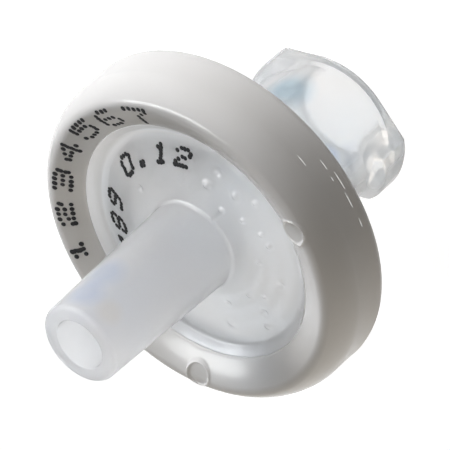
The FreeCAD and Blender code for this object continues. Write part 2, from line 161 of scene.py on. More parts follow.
class OutletSettings(bpy.types.PropertyGroup):
    """Sizes and finish of the outlet shell and its nozzle."""

    tip_height: length("Tip height", "End of the nozzle", OUTLET_HIGH.z / MM)
    tip_radius: length("Tip radius", "Outside of the nozzle at its end", 1.975)
    root_radius: length("Root radius", "Outside of the nozzle at its foot", 2.22)
    bore_radius: length("Bore radius", "Outlet passage", 1.25)
    hub_height: length("Hub height", "Where the nozzle meets the dish", 10.95)
    root_round: length("Root round", "Rounding between nozzle and dish", 0.18)
    tip_round: length("Tip round", "Rounding of the nozzle's end", 0.22)
    floor_radius: length("Floor radius", "Edge of the dish floor", 5.66)
    floor_height: length("Floor height", "Level of the dish floor at its edge", 10.35)
    lip_radius: length("Lip radius", "Top of the dish wall", 6.08)
    lip_height: length("Lip height", "Level of the dish wall's top", 10.75)
    mouth_radius: length("Mouth radius", "Where the shell leaves the ring", 6.115)
    flange_radius: length("Flange radius", "Outside of the flange in the ring", OUTLET_HIGH.x / MM)
    flange_top: length("Flange top", "Top of the flange", 10.19)
    chamber_radius: length("Chamber radius", "Wetted width of the chamber", 5.7)
    groove_height: length("Groove height", "Top of the collecting grooves", 9.9)
    rib_width: length("Rib width", "Width of a round support rib", 0.3)
    rib_first: length("First rib", "Middle of the innermost support rib", 2.0)
    rib_pitch: length("Rib pitch", "From one support rib to the next", 0.77)
    rib_count: count("Ribs", "Number of round support ribs", 5)
    channel_width: length("Channel width", "Width of a radial channel", 0.45)
    channel_count: count("Channels", "Number of radial channels", 6)
    colour: colour("Colour", "Tint of the milky plastic", (0.927, 0.933, 0.95))
    haze: factor("Haze", "Scattering in the plastic, per metre", 300, 10000)
    haze_colour: colour("Haze colour", "Light that the haze gives back", (0.888, 0.894, 0.92))
    # Painted shade: the colour greys where the surface is seen edge-on.
    edge_start: factor("Edge start", "How edge-on the surface starts to grey", 0.5)
    edge_tone: factor("Edge tone", "Share of the light that passes edge-on", 0.6)
    edge_clearness: factor("Edge clearness", "Light let through where seen edge-on", 0.85)
    tint: factor("Tint", "Strength of the cool and warm patches", 0.45)
    # Painted glow: emission strengths in the dish floor and wall, standing in for light that soaks through
    # from the ring.
    painted_dish_glow: factor("Dish glow", "Light that soaks into the dish floor", 0.045)
    painted_rim_glow: factor("Rim glow", "Light that soaks into the dish wall", 0.13)
    rim_clearness: factor("Rim clearness", "Light let through by the wall and flange", 0.5)
    roughness: factor("Roughness", "Roughness of the surface", 0.36)
    coat: factor("Coat", "Share of polished skin on the surface", 0.4)


class InletSettings(bpy.types.PropertyGroup):
    """Sizes and finish of the inlet shell and its luer lock hub."""

    hub_radius: length("Hub radius", "Outside of the luer hub", 3.35)
    socket_mouth: length("Socket mouth", "Luer socket at the rim", 2.15)
    socket_end: length("Socket end", "Luer socket at its bottom", 1.922)
    socket_depth: length("Socket depth", "Depth of the luer socket", 7.6)
    socket_lead: length("Lead-in", "Chamfer at the socket's rim", 0.2)
    port_radius: length("Port radius", "Passage from the socket to the chamber", 0.75)
    neck_height: length("Neck height", "Where the hub starts to widen", 5.6)
    base_radius: length("Base radius", "Hub where it meets the back face", 4.3)
    face_height: length("Face height", "Level of the back face", 8.35)
    face_radius: length("Face radius", "Edge of the back face", 5.6)
    lip_radius: length("Lip radius", "Raised edge of the back face", 5.95)
    lip_height: length("Lip height", "Level of that raised edge", 8.12)
    mouth_radius: length("Mouth radius", "Where the shell leaves the ring", 6.1)
    flange_radius: length("Flange radius", "Outside of the flange in the ring", INLET_HIGH.x / MM)
    flange_height: length("Flange height", "Underside of the flange", 8.56)
    chamber_radius: length("Chamber radius", "Wetted width of the chamber", 5.7)
    chamber_height: length("Chamber height", "Floor of the inlet chamber", 9.0)
    parting_height: length("Parting height", "Where the two shells meet", INLET_HIGH.z / MM)
    lug_radius: length("Lug radius", "Outside of the luer lugs", 3.95)
    lug_land: length("Lug land", "Thickness of a lug's crest at its thin end", 0.5)
    lug_flank: length("Lug flank", "Where a lug's flank meets the hub at its thin end", 1.25)
    lug_lead: length("Lug lead", "Advance of the luer thread in a turn", 5.0)
    lug_sweep: angle("Lug sweep", "Arc of one lug", 120)
    lug_centre: angle("Lug centre", "Direction of the first lug's middle", 16)
    lug_count: count("Lugs", "Number of lugs", 2)
    rim_round: length("Rim round", "Rounding of the rim's outer edge", 0.2)
    colour: colour("Colour", "Tint of the clear plastic", (0.93, 0.94, 0.95))
    haze: factor("Haze", "Scattering in the plastic, per metre", 500, 10000)
    haze_colour: colour("Haze colour", "Light that the haze gives back", (0.62, 0.65, 0.68))
    # Painted shade: the colour greys where the surface is seen edge-on.
    edge_start: factor("Edge start", "How edge-on the surface starts to grey", 0.34)
    edge_tone: factor("Edge tone", "Share of the light that passes edge-on", 0.5)
    edge_clearness: factor("Edge clearness", "Light let through where seen edge-on", 0.25)
    tint: factor("Tint", "Strength of the cool and warm patches", 0.8)
    rim_clearness: factor("Rim clearness", "Light let through by the flange", 0.6)
    roughness: factor("Roughness", "Roughness of the surface", 0.14)
    coat: factor("Coat", "Share of polished skin on the surface", 0)


class MembraneSettings(bpy.types.PropertyGroup):
    """Size and finish of the membrane."""

    radius: length("Radius", "Outside of the membrane", MEMBRANE_HIGH.x / MM)
    low: length("Low", "Underside of the membrane", MEMBRANE_LOW.z / MM)
    high: length("High", "Top of the membrane", MEMBRANE_TOP)
    colour: colour("Colour", "White of the membrane", (0.95, 0.95, 0.94))


class PrintSettings(bpy.types.PropertyGroup):
    """Dotted numbers printed on the ring and on the dish."""

    ring_digits: digits("Ring digits", "Numbers printed on the ring", "1234567")
    dish_digits: digits("Dish digits", "Numbers printed in the dish", "789 0.12")
    ring_first: angle("Ring first", "Direction of the first number on the ring", 62.5)
    dish_first: angle("Dish first", "Direction of the first number in the dish", 67)
    pitch: angle("Pitch", "Turn from one number to the next", 16.1)
    dish_lean: angle("Dish lean", "How far the dish's numbers lean over", 4)
    dot_radius: length("Dot radius", "Radius of a dot of ink", 0.13)
    colour: colour("Colour", "Black of the ink", (0.012, 0.012, 0.014))


class StageSettings(bpy.types.PropertyGroup):
    """Camera, floor and lights."""

    lens: factor("Lens", "Focal length in millimetres", 377.8, 1000)
    distance: length("Distance", "From the camera to its target", 210.9)
    elevation: angle("Elevation", "Height of the camera above the horizon", 36.85)
    roll: angle("Roll", "Turn of the camera about its line of sight", -131.68)
    target_x: bpy.props.FloatProperty(
        name="Target X", description="Where the camera looks", default=-0.327 * MM, unit="LENGTH"
    )
    target_z: length("Target Z", "Height of the camera's target", 8.861)
    floor_size: length("Floor size", "Side of the square floor", 4000)
    floor_colour: colour("Floor colour", "Pale colour of the floor", (0.35, 0.35, 0.35))
    surround: colour("Surround", "Colour of the dim light from all round", (0.004, 0.004, 0.004))


SETTINGS = {
    "filter_ring": RingSettings,
    "filter_outlet": OutletSettings,
    "filter_inlet": InletSettings,
    "filter_membrane": MembraneSettings,
    "filter_print": PrintSettings,
    "filter_stage": StageSettings,
}


def in_mm(group):
    """The group's values, with its lengths in millimetres."""
    values = {}
    for key, prop in group.bl_rna.properties.items():
        if key in ("rna_type", "name"):
            continue
        value = getattr(group, key)
        values[key] = value / MM if getattr(prop, "unit", "NONE") == "LENGTH" else value
    return SimpleNamespace(**values)


# ---- modelling
def spin(bm, geometry, turn, steps, **options):
    """Turns geometry round the Z axis."""
    return bmesh.ops.spin(
        bm, geom=geometry, cent=(0, 0, 0), axis=(0, 0, 1), angle=turn, steps=steps, **options
    )


def round_edges(bm, edges, width, segments):
    """Rounds edges, starting this far from them on both sides."""
    bmesh.ops.bevel(
        bm, geom=edges, offset=width, offset_type="OFFSET", segments=segments,
        profile=0.5, affect="EDGES", material=-1,
    )


def turned(outline):
    """A closed outline of (radius, height) corners turned once round the Z axis."""
    bm = bmesh.new()
    corners = [bm.verts.new((out, 0, up)) for out, up in outline]
    edges = [bm.edges.new(pair) for pair in zip(corners, corners[1:] + corners[:1])]
    spin(bm, corners + edges, FULL_TURN, ROUND_STEPS, use_merge=True)
    bmesh.ops.remove_doubles(bm, verts=bm.verts, dist=SAME)
    bmesh.ops.recalc_face_normals(bm, faces=bm.faces)
    return bm


def corners_of(geometry):
    """The vertices among an operator's results."""
    return [made for made in geometry if isinstance(made, bmesh.types.BMVert)]


def reach(vert):
    """Distance of a vertex from the axis."""
    return math.hypot(vert.co.x, vert.co.y)


def on_circle(vert, radius, height):
    """Whether a vertex lies on a circle about the axis."""
    return abs(reach(vert) - radius) < 10 * SAME and abs(vert.co.z - height) < 10 * SAME


def ease(bm, radius, height, width, segments=6):
    """Rounds the circular edge at this radius and height."""
    edges = [e for e in bm.edges if all(on_circle(v, radius, height) for v in e.verts)]
    if not edges:
        raise RuntimeError("no edge at radius %.3f, height %.3f" % (radius, height))
    round_edges(bm, edges, width, segments)
    bmesh.ops.remove_doubles(bm, verts=bm.verts, dist=SAME)


def linked(name, data):
    """A new object in the scene."""
    made = bpy.data.objects.new(name, data)
    bpy.context.scene.collection.objects.link(made)
    return made


def shown(bm, name, material):
    """The modelled shape as an object in the scene."""
    mesh = bpy.data.meshes.new(name)
    bm.to_mesh(mesh)
    bm.free()
    mesh.materials.append(material)
    return linked(name, mesh)


def finish_piece(bm, name, material, stands_for=None):
    """Makes the shape a piece in metres that rides on the one body and may stand for a CAD node."""
    bmesh.ops.recalc_face_normals(bm, faces=bm.faces)
    bmesh.ops.scale(bm, vec=(MM, MM, MM), verts=bm.verts)
    piece = shown(bm, name, material)
    piece.data.shade_smooth()
    piece.data.set_sharp_from_angle(angle=SHARP_ANGLE)
    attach(piece, "root")
    if stands_for:
        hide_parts(stands_for)


# ---- materials
class Wiring:
    """The nodes of a material or of the world, and short ways to add them."""

    def __init__(self, owner):
        owner.use_nodes = True
        self.nodes = owner.node_tree.nodes
        self.links = owner.node_tree.links

    def node(self, kind, *feeds, **options):
        """A new shader node, with its options and values set, fed by these outputs in turn."""
        made = self.nodes.new("ShaderNode" + kind)
        for key, value in options.items():
            if hasattr(made, key):
                setattr(made, key, value)
            else:
                made.inputs[key.replace("_", " ")].default_value = value
        for output, socket in zip(feeds, made.inputs):
            self.links.new(output, socket)
        return made


class Finish(Wiring):
    """A node material: a Principled shader and short ways to reach its inputs."""

    def __init__(self, name, colour, roughness):
        self.material = bpy.data.materials.new(name)
        super().__init__(self.material)
        self.shader = self.nodes["Principled BSDF"]
        self.set("Base Color", (*colour, 1))
        self.set("Roughness", roughness)

    def set(self, socket, value):
        """Sets a value that is the same all over the surface."""
        self.shader.inputs[socket].default_value = value

    def feed(self, value, socket):
        """Links a value to one of the shader's sockets."""
        self.links.new(value, self.shader.inputs[socket])

    def scatter(self, depth):
        """Lets light spread under the surface to about this depth, given in millimetres."""
        self.set("Subsurface Weight", 1)
        self.set("Subsurface Radius", (1, 1, 1))
        self.set("Subsurface Scale", depth * MM)

    def place(self, keep=(1, 1, 1)):
        """Object coordinates in millimetres, each times its number in keep."""
        coordinates = self.node("TexCoord").outputs["Object"]
        return self.node("Mapping", coordinates, Scale=[share / MM for share in keep]).outputs[0]

    def noise(self, scale, detail=3):
        """Soft noise; scale counts its bumps per millimetre."""
        return self.node("TexNoise", self.place(), Scale=scale, Detail=detail).outputs["Fac"]

    def measure(self, operation, other=(0, 0, 0), keep=(1, 1, 1)):
        """The place's LENGTH, or its DISTANCE from or DOT_PRODUCT with other, in millimetres."""
        made = self.node("VectorMath", self.place(keep), operation=operation)
        made.inputs[1].default_value = other
        return made.outputs["Value"]

    def off_axis(self):
        """Distance from the Z axis in millimetres."""
        return self.measure("LENGTH", keep=(1, 1, 0))

    def combined(self, operation, value, other):
        """Two values put together by this operation."""
        return self.node("Math", value, other, operation=operation).outputs["Value"]

    def between(self, value, low, high, from_low=0.3, from_high=0.7):
        """Maps a value from one range onto another; the usual one suits noise."""
        limits = {"From_Min": from_low, "From_Max": from_high, "To_Min": low, "To_Max": high}
        return self.node("MapRange", value, **limits).outputs["Result"]

    def blend_colours(self, value, low, high):
        """A colour between two, by a 0 to 1 value."""
        made = self.node("Mix", value, data_type="RGBA", A=(*low, 1), B=(*high, 1))
        return self.colours_of(made.outputs)[0]

    def tinted(self, colour, tint):
        """A colour multiplied by another."""
        made = self.node("Mix", data_type="RGBA", blend_type="MULTIPLY", Factor=1)
        for value, socket in zip((colour, tint), self.colours_of(made.inputs)):
            self.links.new(value, socket)
        return self.colours_of(made.outputs)[0]

    def colours_of(self, sockets):
        """The colour sockets among these."""
        return [socket for socket in sockets if socket.type == "RGBA"]

    def bump(self, height, distance):
        """Feeds a height, given in parts of a distance in metres, to the shader's normal."""
        made = self.node("Bump", Strength=1, Distance=distance)
        self.links.new(height, made.inputs["Height"])
        for socket in ("Normal", "Coat Normal"):
            self.feed(made.outputs["Normal"], socket)


def darker(colour, share):
    """The colour with its light cut to this share."""
    return tuple(c * share for c in colour)


def mixed(colour, tint, share):
    """The colour tinted by this share."""
    return tuple(c * (1 - share + share * t) for c, t in zip(colour, tint))


def ring_plastic(ring):
    """Glossy white plastic, a little uneven in tone and polish."""
    made = Finish("ring_plastic", ring.colour, ring.roughness)
    made.set("IOR", PLASTIC_IOR)
    made.scatter(ring.depth)
    cloudy = made.noise(0.35, 2)
    made.feed(made.blend_colours(cloudy, darker(ring.colour, 0.97), ring.colour), "Base Color")
    made.feed(made.between(made.noise(1.2, 4), ring.roughness - 0.03, ring.roughness + 0.04), "Roughness")
    made.bump(made.noise(2.5, 3), 0.004 * MM)
    return made.material


def bright_scuff(ring):
    """The bare, shiny skin of a scuff, which catches the light."""
    made = Finish("bright_scuff", darker(ring.colour, 0.95), 0.35)
    made.set("Metallic", 0.75)
    made.bump(made.noise(6, 3), 0.004 * MM)
    return made.material


# Painted reflections: soft patches of another tint in the clear plastics, where reflections and refractions
# show; middle and radius in millimetres, and tint.
PAINTED_REFLECTIONS = {
    "milky_plastic": (
        ((1.6, -1.4, 17.9), 1.1, (0.72, 0.8, 0.98)),
        ((1.7, -1.3, 16.4), 1.2, (0.74, 0.82, 0.98)),
        ((0.2, -2.1, 18.1), 0.8, (1, 0.95, 0.88)),
    ),
    "clear_plastic": (
        ((2.5, -2.6, 2.9), 1.5, (0.5, 0.68, 0.8)),
        ((-1.3, -3.4, 4.3), 0.8, (0.6, 0.68, 0.9)),
        ((-2.2, -3.2, 3.3), 1.2, (0.78, 0.8, 0.86)),
    ),
}
# Bumps per millimetre of the soft tint, and how edge-on a surface is where its grey is full.
TINT_SCALE = 0.25
EDGE_ON = 0.9
WHITE = (1, 1, 1)
COOL = (0.91, 0.96, 1)
WARM = (1, 0.975, 0.95)
# Distances from the axis, in millimetres, over which something fades: the milkier rim, and the painted glow
# in the dish's wall and floor.
RIM_FADE = (5.5, 5.75)
WALL_FADE = (5.2, 5.8)
FLOOR_EDGE_FADE = (5.2, 5.7)
FLOOR_FOOT_FADE = (2.3, 2.8)


def clear_plastic(name, part, ripple):
    """Unpigmented plastic with faint ripples, milkier towards its rim, with painted shade that greys it
    where seen edge-on and painted reflections in soft tinted patches.
    """
    made = Finish(name, part.colour, part.roughness)
    made.set("IOR", PLASTIC_IOR)
    edge_on = made.node("LayerWeight", Blend=0.5).outputs["Facing"]
    edge_range = part.edge_start, EDGE_ON
    clear = made.between(edge_on, 1, part.edge_clearness, *edge_range)
    inner = made.between(made.off_axis(), 1, part.rim_clearness, *RIM_FADE)
    made.feed(made.combined("MULTIPLY", clear, inner), "Transmission Weight")
    body = made.blend_colours(
        made.between(made.noise(TINT_SCALE, 1), 0, 1),
        mixed(part.colour, COOL, part.tint),
        mixed(part.colour, WARM, part.tint),
    )
    # Painted reflections: each patch's tint is multiplied into the base colour.
    for place, radius, tint in PAINTED_REFLECTIONS[name]:
        inside = made.between(made.measure("DISTANCE", place), 1, 0, radius * 0.4, radius)
        body = made.tinted(body, made.blend_colours(inside, WHITE, tint))
    # Painted shade: the base colour greys where the surface is seen edge-on.
    grey = made.between(edge_on, 0, 1, *edge_range)
    edge = made.blend_colours(grey, WHITE, darker(WHITE, part.edge_tone))
    made.feed(made.tinted(body, edge), "Base Color")
    made.feed(made.between(made.noise(0.8), part.roughness * 0.8, part.roughness * 1.25), "Roughness")
    made.bump(made.noise(0.9), ripple)
    made.set("Coat Weight", part.coat)
    made.set("Coat Roughness", 0.06)
    tone = (*part.haze_colour, 1)
    haze = made.node("VolumeScatter", Color=tone, Density=part.haze, Anisotropy=0)
    made.links.new(haze.outputs["Volume"], made.nodes["Material Output"].inputs["Volume"])
    return made


def add_painted_glow(made, outlet):
    """Paints a faint glow into the dish's wall and floor as emission, standing in for light that soaks
    through from the ring; the wall's glow is stronger on the +X side, where the low and key lamps stand,
    and the floor's on the -X side.
    """
    made.set("Emission Color", (1, 0.99, 0.97, 1))
    out = made.off_axis()
    across = made.measure("DOT_PRODUCT", (1, 0, 0))
    in_wall = made.between(out, 0, 1, *WALL_FADE)
    in_floor = made.combined(
        "MULTIPLY", made.between(out, 0, 1, *FLOOR_FOOT_FADE), made.between(out, 1, 0.5, *FLOOR_EDGE_FADE)
    )
    # Painted glow: the wall's emission grows towards +X, where the low and key lamps stand, and the floor's
    # grows towards -X.
    wall = made.combined("MULTIPLY", in_wall, made.between(across, 0, outlet.painted_rim_glow, -1, 4))
    floor = made.combined("MULTIPLY", in_floor, made.between(across, outlet.painted_dish_glow, 0, -2, 2))
    made.feed(made.combined("ADD", wall, floor), "Emission Strength")


def membrane_sheet(membrane):
    """Matt white porous sheet."""
    made = Finish("membrane_sheet", membrane.colour, 0.85)
    uneven = made.blend_colours(made.noise(9, 5), darker(membrane.colour, 0.95), membrane.colour)
    made.feed(uneven, "Base Color")
    made.bump(made.noise(22, 4), 0.01 * MM)
    return made.material


def ink(settings):
    """Black printing ink, thinner and greyer in places."""
    made = Finish("ink", settings.colour, 0.6)
    made.set("Specular IOR Level", 0.25)
    worn = made.between(made.noise(3.5, 4), 0, 1, 0.52, 0.75)
    made.feed(made.blend_colours(worn, settings.colour, (0.05, 0.048, 0.047)), "Base Color")
    return made.material


# ---- ring
def ring_arcs(ring):
    """Middles of the shoulder's and the crest's arcs, and the direction in which they touch."""
    sine, cosine = math.sin(ring.slope), math.cos(ring.slope)
    shoulder = Vector((ring.radius - ring.shoulder_round, ring.shoulder_height))
    start = ring.mouth_radius + ring.crest_round * sine, ring.mouth_height - ring.crest_round * cosine
    foot = Vector(start) - shoulder
    along = foot.x * cosine + foot.y * sine
    gap = ring.shoulder_round - ring.crest_round
    travel = math.sqrt(along**2 - foot.length_squared + gap**2) - along
    crest = shoulder + foot + travel * Vector((cosine, sine))
    return shoulder, crest, math.atan2(crest.y - shoulder.y, crest.x - shoulder.x)


def ring_corners(ring):
    """The shoulder's and the crest's corners before their edges are rounded, and their roundings."""
    shoulder, _, turn = ring_arcs(ring)
    touch = shoulder + ring.shoulder_round * Vector((math.cos(turn), math.sin(turn)))
    tangent = Vector((-math.sin(turn), math.cos(turn)))
    shoulder_cut = ring.shoulder_round * math.tan(turn / 2)
    crest_cut = ring.crest_round * math.tan((math.pi / 2 + ring.slope_end - turn) / 2)
    return touch - shoulder_cut * tangent, shoulder_cut, touch + crest_cut * tangent, crest_cut


def slope_end(ring):
    """Where the bulging slope runs into the crest's rounding."""
    _, crest, _ = ring_arcs(ring)
    return crest + ring.crest_round * Vector((-math.sin(ring.slope_end), math.cos(ring.slope_end)))


def front_face(ring, out):
    """Level and outward lean of the ring's front at this distance from the axis."""
    shoulder, crest, turn = ring_arcs(ring)
    end = slope_end(ring)
    if out < end.x:
        run, rise = end.x - ring.mouth_radius, end.y - ring.mouth_height
        last = math.tan(ring.slope_end)
        bend = (last - rise / run) / run
        left = end.x - out
        return end.y - last * left + bend * left**2, -math.atan(last - 2 * bend * left)
    over_crest = out < crest.x + ring.crest_round * math.cos(turn)
    middle, radius = (crest, ring.crest_round) if over_crest else (shoulder, ring.shoulder_round)
    lean = math.asin((out - middle.x) / radius)
    return middle.y + radius * math.cos(lean), lean


# Corners this far below a front surface are left alone, in millimetres.
SKIN = 0.1


def refine(bm, middle, radius, is_near):
    """Splits the faces near a point; gives the near corners and their distances seen from above."""

    def close(point):
        return (point - middle).length < radius and is_near(point)

    edges = {e for f in bm.faces if close(f.calc_center_median()) for e in f.edges}
    bmesh.ops.subdivide_edges(bm, edges=list(edges), cuts=3, use_grid_fill=True)
    return [(v, math.hypot(v.co.x - middle.x, v.co.y - middle.y)) for v in bm.verts if close(v.co)]


# Softness of a support mark's edge and width of its bead, in millimetres, and its reach in radii.
MARK_EDGE = 0.02
BEAD_WIDTH = 0.055
MARK_REACH = 1.4


def press_mark(bm, ring, direction):
    """Levels a round support mark into the front slope, with a thin bead round it."""
    out = Vector((math.cos(direction), math.sin(direction), 0))
    middle = out * ring.mark_place + Vector((0, 0, ring.mark_height))
    reach_out = ring.mark_radius * MARK_REACH
    for vert, off in refine(bm, middle, reach_out, lambda point: point.z > ring.mouth_height - SKIN):
        away = off - ring.mark_radius
        share = ring.mark_levelling / (1 + math.exp(away / MARK_EDGE))
        bead = ring.mark_bead * math.exp(-((away / BEAD_WIDTH) ** 2))
        vert.co.z += (ring.mark_height - vert.co.z) * share + bead


# Turn from one step of a scuff to the next, in degrees, and its width and depth in millimetres.
SCUFF_STEP = 1.5
SCUFF_WIDTH = 0.03
SCUFF_DEPTH = 0.01


def scuff(bm, direction, sweep, radius, height, width):
    """Adds a hair-thin raised thread round the axis; its direction and sweep are in degrees."""
    shape = ((0, -1), (1, -0.7), (0, 1))
    corners = [bm.verts.new((radius + width * out, 0, height + width * up)) for out, up in shape]
    bmesh.ops.rotate(bm, verts=corners, matrix=Matrix.Rotation(math.radians(direction), 3, "Z"))
    steps = math.ceil(sweep / SCUFF_STEP)
    spun = spin(bm, [bm.faces.new(corners)], math.radians(sweep), steps, use_duplicate=False)
    for tip in (corners, corners_of(spun["geom_last"])):
        bmesh.ops.scale(bm, vec=(1, 1, 0.2), verts=tip, space=Matrix.Translation((0, 0, -height)))


# Where each scuff starts and how far round it runs, in degrees, and its height in millimetres.
SCUFFS = (246, 5, 8.84), (252, 6, 8.73), (256, 1.6, 9.04), (260, 3.5, 8.97), (265, 4, 9.78), (239, 3, 8.78)
# Where each bright line on the opening's edge starts, how far it runs, and its width.
GLINTS = (-78.2, 11.7, 0.03), (-88.5, 3.8, 0.03), (-163, 45, 0.035)
# Neighbouring roundings stop just short of each other.
ALMOST = 0.999


def model_ring(ring):
    """The ring band, with its rounded shoulder and its support marks."""
    shoulder, shoulder_cut, crest, crest_cut = ring_corners(ring)
    ridge = ((0, 0.02), (ring.ridge, 0.05), (0, 0.08))
    slope_steps = 14
    start, end = ring.mouth_radius + 2 * ring.mouth_round, slope_end(ring).x - 0.005
    places = [start + (end - start) * i / slope_steps for i in range(slope_steps + 1)]
    slope_run = [(out, front_face(ring, out)[0]) for out in places]
    outline = [
        (ring.mouth_radius, ring.seat_high),
        (ring.seat_radius, ring.seat_high),
        (ring.seat_radius, ring.seat_low),
        (ring.mouth_radius, ring.seat_low),
        (ring.mouth_radius, ring.back_height),
        (ring.radius, ring.back_height),
        *((ring.radius + out, ring.back_height + ring.back_round + up) for out, up in ridge),
        tuple(shoulder),
        tuple(crest),
        *reversed(slope_run),
        (ring.mouth_radius, ring.mouth_height),
    ]
    bm = turned(outline)
    ease(bm, *shoulder, shoulder_cut * ALMOST, 16)
    ease(bm, *crest, crest_cut * ALMOST, 10)
    ease(bm, ring.radius, ring.back_height, ring.back_round)
    ease(bm, ring.mouth_radius, ring.mouth_height, ring.mouth_round, 4)
    for i in range(ring.mark_count):
        press_mark(bm, ring, ring.mark_angle + i * FULL_TURN / 3)
    return bm


def model_scuffs(ring):
    """All scuffs on the ring's side wall, and the bright lines on its front opening's edge."""
    bm = bmesh.new()
    for direction, sweep, height in SCUFFS:
        scuff(bm, direction, sweep, ring.radius - SCUFF_DEPTH, height, SCUFF_WIDTH)
    radius, height = ring.mouth_radius - SCUFF_DEPTH, ring.mouth_height - SCUFF_DEPTH
    for direction, sweep, width in GLINTS:
        scuff(bm, direction, sweep, radius, height, width)
    return bm


# ---- outlet shell
def rib_walls(outlet):
    """Inner and outer radius of each round support rib, from the middle outwards."""
    half = outlet.rib_width / 2
    places = [outlet.rib_first + outlet.rib_pitch * i for i in range(outlet.rib_count)]
    return [(place - half, place + half) for place in places]


def floor_fall(outlet):
    """Angle at which the dish floor falls away from the nozzle."""
    return math.atan2(outlet.hub_height - outlet.floor_height, outlet.floor_radius - outlet.root_radius)


def floor_level(outlet, out):
    """Level of the dish floor at this distance from the axis."""
    return outlet.floor_height + (outlet.floor_radius - out) * math.tan(floor_fall(outlet))


# Distances of the dish floor's rows of corners from the axis, and edges' roundings, in millimetres.
FLOOR_ROWS = [2.95 + 0.24 * i for i in range(11)]
BORE_ROUND = 0.06
FLOOR_ROUND = 0.16
LIP_ROUND = 0.03
# Spots in the dish: direction in degrees, distance from the axis, radius and rise in millimetres.
BLEMISHES = (
    (-66, 3.75, 0.26, 0.16), (-86, 4.3, 0.26, 0.13), (-70, 4.6, 0.26, -0.13),
    (-85, 3.1, 0.16, 0.11), (7, 3.45, 0.22, -0.1), (-114, 4.2, 0.16, 0.11),
    (-122, 4.35, 0.2, 0.13), (-101, 3.7, 0.15, 0.09), (-85, 2.45, 0.12, 0.09),
    (-173, 3.4, 0.18, 0.1), (159, 3.25, 0.18, -0.09), (-179, 4.4, 0.26, -0.12),
    (174, 5.0, 0.16, 0.1), (-150, 4.6, 0.28, -0.1), (150, 4.4, 0.3, 0.09),
    (-96, 4.9, 0.18, 0.1), (-40, 4.3, 0.2, -0.08), (-135, 3.6, 0.16, 0.09),
    (-165, 4.0, 0.14, 0.08),
)


def model_outlet(outlet):
    """Nozzle, dish and flange in one shell, with support ribs on its underside."""
    walls = rib_walls(outlet)
    underside = [(out, outlet.groove_height) for pair in reversed(walls) for out in reversed(pair)]
    outline = [
        (outlet.bore_radius, outlet.groove_height),
        (outlet.bore_radius, outlet.tip_height),
        (outlet.tip_radius, outlet.tip_height),
        (outlet.root_radius, outlet.hub_height),
        *((out, floor_level(outlet, out)) for out in FLOOR_ROWS),
        (outlet.floor_radius, outlet.floor_height),
        (outlet.lip_radius, outlet.lip_height),
        (outlet.mouth_radius, outlet.lip_height),
        (outlet.mouth_radius, outlet.flange_top),
        (outlet.flange_radius, outlet.flange_top),
        (outlet.flange_radius, MEMBRANE_TOP),
        (outlet.chamber_radius, MEMBRANE_TOP),
        (outlet.chamber_radius, outlet.groove_height),
        *underside,
    ]
    bm = turned(outline)
    grow_ribs(bm, outlet, walls)
    ease(bm, outlet.root_radius, outlet.hub_height, outlet.root_round, 8)
    ease(bm, outlet.tip_radius, outlet.tip_height, outlet.tip_round)
    ease(bm, outlet.bore_radius, outlet.tip_height, BORE_ROUND, 3)
    ease(bm, outlet.floor_radius, outlet.floor_height, FLOOR_ROUND)
    ease(bm, outlet.lip_radius, outlet.lip_height, LIP_ROUND, 3)
    for direction, out, radius, rise in BLEMISHES:
        blemish(bm, outlet, math.radians(direction), out, radius, rise)
    return bm


def blemish(bm, outlet, direction, out, radius, rise):
    """Raises or sinks a small soft spot in the dish floor."""
    middle = Vector((out * math.cos(direction), out * math.sin(direction), floor_level(outlet, out)))
    for vert, away in refine(bm, middle, radius * 2, lambda point: point.z > outlet.floor_height - SKIN):
        vert.co.z += rise * math.exp(-((away / radius * 1.4) ** 2))


def grow_ribs(bm, outlet, walls):
    """Draws the support ribs down from the underside and leaves the radial channels open."""
    directions = [FULL_TURN * i / outlet.channel_count for i in range(outlet.channel_count)]

    def in_channel(point):
        for direction in directions:
            ahead = point.x * math.cos(direction) + point.y * math.sin(direction)
            aside = point.y * math.cos(direction) - point.x * math.sin(direction)
            if ahead > 0 and abs(aside) < outlet.channel_width / 2:
                return True
        return False

    chosen = []
    for face in bm.faces:
        middle = face.calc_center_median()
        out = math.hypot(middle.x, middle.y)
        level = abs(middle.z - outlet.groove_height) < 0.01 and abs(face.normal.z) > 0.9
        if level and any(inner < out < outer for inner, outer in walls) and not in_channel(middle):
            chosen.append(face)
    grown = bmesh.ops.extrude_face_region(bm, geom=chosen)
    bmesh.ops.delete(bm, geom=[f for f in chosen if f.is_valid], context="FACES")
    fall = MEMBRANE_TOP - outlet.groove_height
    bmesh.ops.translate(bm, verts=corners_of(grown["geom"]), vec=(0, 0, fall))


# ---- inlet shell
def lug_plan(inlet, direction):
    """Radius of the lugged rim in a direction, and how far that is along the lug and off its middle."""
    spacing = FULL_TURN / inlet.lug_count
    offset = (direction - inlet.lug_centre + spacing / 2) % spacing - spacing / 2
    share = offset / inlet.lug_sweep + 0.5
    half = inlet.lug_sweep / 2
    if abs(offset) >= half:
        return inlet.hub_radius, share, offset
    ramp = inlet.hub_radius / math.cos(half - abs(offset))
    return min(ramp, inlet.lug_radius), share, offset


